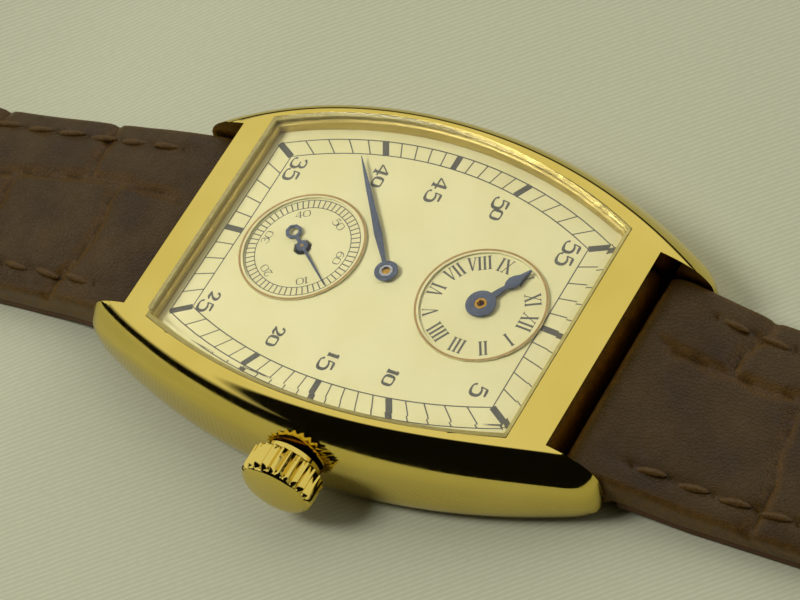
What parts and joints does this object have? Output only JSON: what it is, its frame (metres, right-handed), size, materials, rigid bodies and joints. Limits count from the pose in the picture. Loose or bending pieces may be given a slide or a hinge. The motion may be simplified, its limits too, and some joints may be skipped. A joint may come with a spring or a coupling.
{
  "type": "wristwatch",
  "caption": "Barrel-shaped gold wristwatch with small hour and seconds dials, fluted crown and leather strap with pin buckle.",
  "frame": {"origin": "on the flat case back, under the minute hand's axis", "axes": "+X towards 3 o'clock and the crown, +Y towards 12 o'clock along the strap, +Z out of the dial"},
  "size_m": [0.031, 0.226, 0.0085],
  "materials": {
    "polished_gold": "mirror polished yellow gold",
    "brushed_gold": "brushed yellow gold",
    "crystal": "clear polished",
    "seal": "satin",
    "dial": "matt cream",
    "hand": "slate blue",
    "movement_plate": "grained nickel plate",
    "movement_brass": "gilt",
    "movement_steel": "polished steel",
    "jewel": "synthetic ruby",
    "alligator": "dark brown alligator",
    "lining": "smooth brown calf"
  },
  "bodies": {
    "case": {"case_middle": "polished_gold", "crystal": "crystal", "crystal_gasket": "seal", "inner_flange": "brushed_gold", "dial": "dial", "hour_dial_rim": "polished_gold", "seconds_dial_rim": "polished_gold", "case_back": "polished_gold", "case_back_gasket": "seal", "case_back_screws": "movement_steel", "crown_tube": "movement_steel", "movement_ring": "movement_plate", "spacer_ring": "movement_plate", "main_plate": "movement_plate", "barrel_bridge": "movement_plate", "train_bridge": "movement_plate", "balance_cock": "movement_plate", "pallet_cock": "movement_plate", "bridge_screws": "movement_steel", "jewels": "jewel", "click_screw": "movement_steel", "spring_bar_12": "movement_steel", "spring_bar_6": "movement_steel"},
    "seconds_group": {"fourth_wheel": "movement_brass", "seconds_hand": "hand"},
    "minute_group": {"centre_wheel": "movement_brass", "cannon_pinion": "movement_steel", "minute_hand": "hand"},
    "hour_group": {"hour_wheel": "movement_brass", "hour_hand": "hand"},
    "motion_wheel": {"minute_wheel": "movement_brass"},
    "third_group": {"third_wheel": "movement_brass"},
    "escape_group": {"escape_wheel": "movement_steel"},
    "barrel_group": {"mainspring_barrel": "movement_brass", "barrel_cover": "movement_brass", "mainspring": "movement_steel"},
    "pallet_group": {"pallet_fork": "movement_steel"},
    "balance_group": {"balance_wheel": "movement_brass", "hairspring": "movement_steel"},
    "crown_carrier": {"crown_seal": "seal"},
    "crown_group": {"crown": "polished_gold", "winding_stem": "movement_steel"},
    "winding_pinion_group": {"winding_pinion": "movement_steel"},
    "sliding_pinion_group": {"sliding_pinion": "movement_steel"},
    "crown_wheel_group": {"crown_wheel": "movement_steel"},
    "ratchet_group": {"barrel_arbor": "movement_steel", "ratchet_wheel": "movement_steel"},
    "click_group": {"click": "movement_steel"},
    "strap_12": {"strap_12_upper": "alligator", "strap_12_lining": "lining", "fixed_keeper": "alligator", "buckle_bar": "movement_steel"},
    "strap_6": {"strap_6_upper": "alligator", "strap_6_lining": "lining"},
    "free_keeper_group": {"free_keeper": "alligator"},
    "buckle_group": {"buckle_frame": "polished_gold"},
    "tongue_group": {"buckle_tongue": "polished_gold"}
  },
  "joints": [
    {"name": "seconds_turn", "type": "hinge", "parent": "case", "child": "seconds_group", "pos_m": [0, -0.00676, 0.0032], "axis": [0, 0, -1], "continuous": true},
    {"name": "minute_turn", "type": "hinge", "parent": "case", "child": "minute_group", "pos_m": [0, 0, 0.0032], "axis": [0, 0, -1], "continuous": true},
    {"name": "hour_turn", "type": "hinge", "parent": "case", "child": "hour_group", "pos_m": [0, 0.00728, 0.0032], "axis": [0, 0, -1], "continuous": true},
    {"name": "motion_wheel_turn", "type": "hinge", "parent": "case", "child": "motion_wheel", "pos_m": [0.00109, 0.00364, 0.0032], "axis": [0, 0, -1], "continuous": true},
    {"name": "third_turn", "type": "hinge", "parent": "case", "child": "third_group", "pos_m": [-0.00202, -0.00351, 0.0032], "axis": [0, 0, -1], "continuous": true},
    {"name": "escape_turn", "type": "hinge", "parent": "case", "child": "escape_group", "pos_m": [0.00279, -0.00778, 0.0032], "axis": [0, 0, -1], "continuous": true},
    {"name": "barrel_turn", "type": "hinge", "parent": "case", "child": "barrel_group", "pos_m": [0.0035, 0.0035, 0.0032], "axis": [0, 0, -1], "continuous": true},
    {"name": "pallet_swing", "type": "hinge", "parent": "case", "child": "pallet_group", "pos_m": [0.0043, -0.00619, 0.0032], "axis": [0, 0, -1], "range_deg": [-5, 5]},
    {"name": "balance_swing", "type": "hinge", "parent": "case", "child": "balance_group", "pos_m": [0.00631, -0.0041, 0.0032], "axis": [0, 0, -1], "range_deg": [-140, 140]},
    {"name": "crown_pull", "type": "slide", "parent": "case", "child": "crown_carrier", "axis": [1, 0, 0], "range_m": [0, 0.0008]},
    {"name": "crown_turn", "type": "hinge", "parent": "crown_carrier", "child": "crown_group", "pos_m": [0.01415, 0, 0.00395], "axis": [1, 0, 0], "continuous": true},
    {"name": "winding_pinion_turn", "type": "hinge", "parent": "case", "child": "winding_pinion_group", "pos_m": [0.00877, 0, 0.00395], "axis": [1, 0, 0], "continuous": true},
    {"name": "sliding_pinion_turn", "type": "hinge", "parent": "case", "child": "sliding_pinion_group", "pos_m": [0.00877, 0, 0.00395], "axis": [1, 0, 0], "continuous": true},
    {"name": "crown_wheel_turn", "type": "hinge", "parent": "case", "child": "crown_wheel_group", "pos_m": [0.00705, 0, 0.0032], "axis": [0, 0, 1], "continuous": true},
    {"name": "ratchet_turn", "type": "hinge", "parent": "case", "child": "ratchet_group", "pos_m": [0.0035, 0.0035, 0.0032], "axis": [0, 0, 1], "continuous": true},
    {"name": "click_swing", "type": "hinge", "parent": "case", "child": "click_group", "pos_m": [-0.00027, 0.00568, 0.00115], "axis": [0, 0, 1], "range_deg": [0, 10]},
    {"name": "strap_12_swing", "type": "hinge", "parent": "case", "child": "strap_12", "pos_m": [0, 0.01852, 0.00245], "axis": [1, 0, 0], "range_deg": [-80, 30]},
    {"name": "strap_6_swing", "type": "hinge", "parent": "case", "child": "strap_6", "pos_m": [0, -0.01852, 0.00245], "axis": [-1, 0, 0], "range_deg": [-80, 30]},
    {"name": "free_keeper_slide", "type": "slide", "parent": "strap_12", "child": "free_keeper_group", "axis": [0, 1, 0], "range_m": [-0.008, 0.002]},
    {"name": "buckle_swing", "type": "hinge", "parent": "strap_12", "child": "buckle_group", "pos_m": [0, 0.08852, 0.0021], "axis": [1, 0, 0], "range_deg": [-30, 45]},
    {"name": "tongue_swing", "type": "hinge", "parent": "buckle_group", "child": "tongue_group", "pos_m": [0, 0.08852, 0.0021], "axis": [1, 0, 0], "range_deg": [0, 75]}
  ],
  "couplings": [
    {"joint": "third_turn", "follows": "seconds_turn", "ratio": -0.13333},
    {"joint": "minute_turn", "follows": "seconds_turn", "ratio": 0.016667},
    {"joint": "motion_wheel_turn", "follows": "seconds_turn", "ratio": -0.0055556},
    {"joint": "hour_turn", "follows": "seconds_turn", "ratio": 0.0013889},
    {"joint": "escape_turn", "follows": "seconds_turn", "ratio": -10},
    {"joint": "barrel_turn", "follows": "seconds_turn", "ratio": -0.0029762},
    {"joint": "winding_pinion_turn", "follows": "crown_turn", "ratio": 1},
    {"joint": "sliding_pinion_turn", "follows": "crown_turn", "ratio": 1},
    {"joint": "crown_wheel_turn", "follows": "crown_turn", "ratio": 0.6},
    {"joint": "ratchet_turn", "follows": "crown_turn", "ratio": -0.27}
  ]
}
